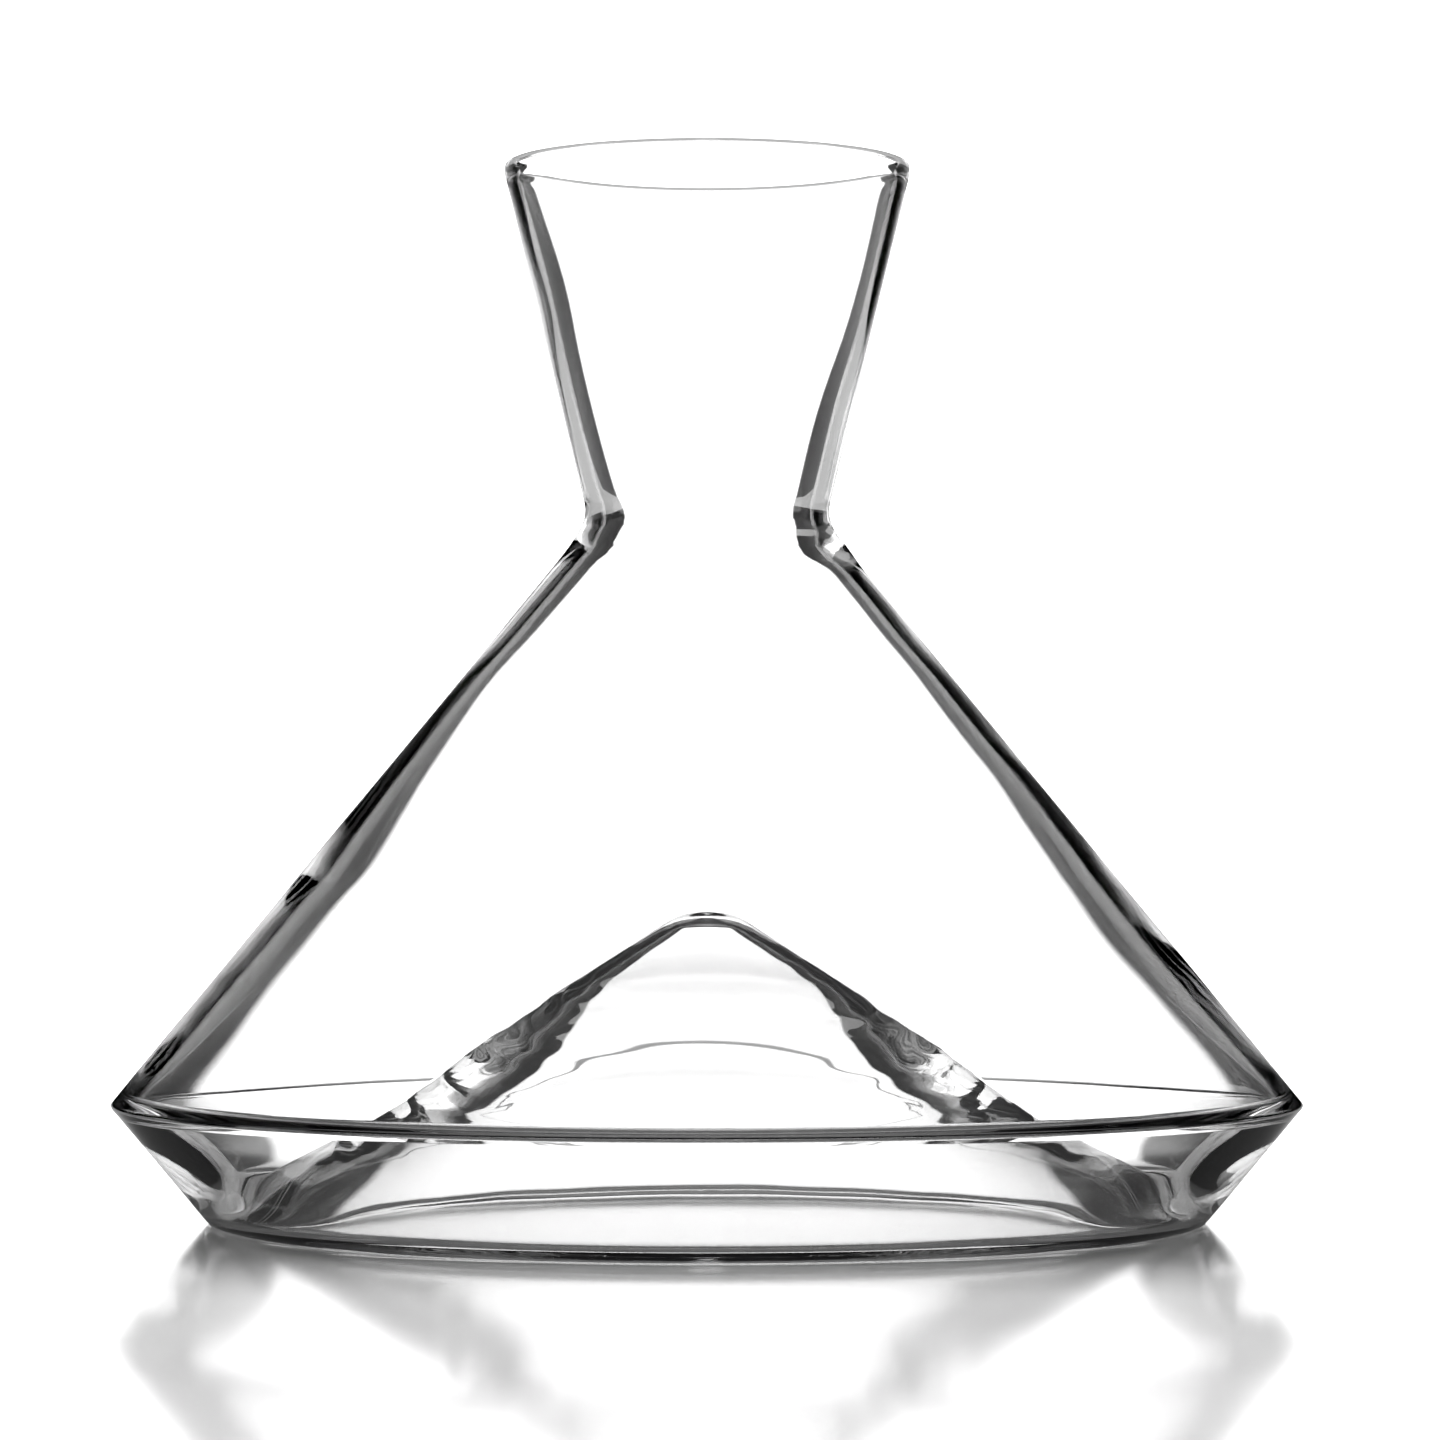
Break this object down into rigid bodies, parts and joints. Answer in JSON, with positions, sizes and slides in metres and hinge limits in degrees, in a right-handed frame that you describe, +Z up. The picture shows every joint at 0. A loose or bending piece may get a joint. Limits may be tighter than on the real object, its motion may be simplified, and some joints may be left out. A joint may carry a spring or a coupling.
{
  "type": "wine decanter",
  "caption": "Clear glass wine decanter with a flared mouth, tight neck, straight wide cone, bevelled heel and a hollow glass peak rising inside the base.",
  "frame": {"origin": "centre of the foot ring, on the plane that the decanter stands on", "axes": "+Z up along the axis of the turned form, out through the mouth; +X and +Y are any two level directions at a right angle"},
  "size_m": [0.222, 0.222, 0.1985],
  "materials": {
    "glass": "clear colourless hand-blown glass, fire-polished, with faint turning ripples"
  },
  "bodies": {
    "root": {"mouth_rim": "glass", "mouth_funnel": "glass", "neck": "glass", "shoulder_cone": "glass", "skirt_cone": "glass", "heel_bevel": "glass", "foot_base": "glass", "punt_toe": "glass", "punt": "glass"}
  },
  "joints": []
}
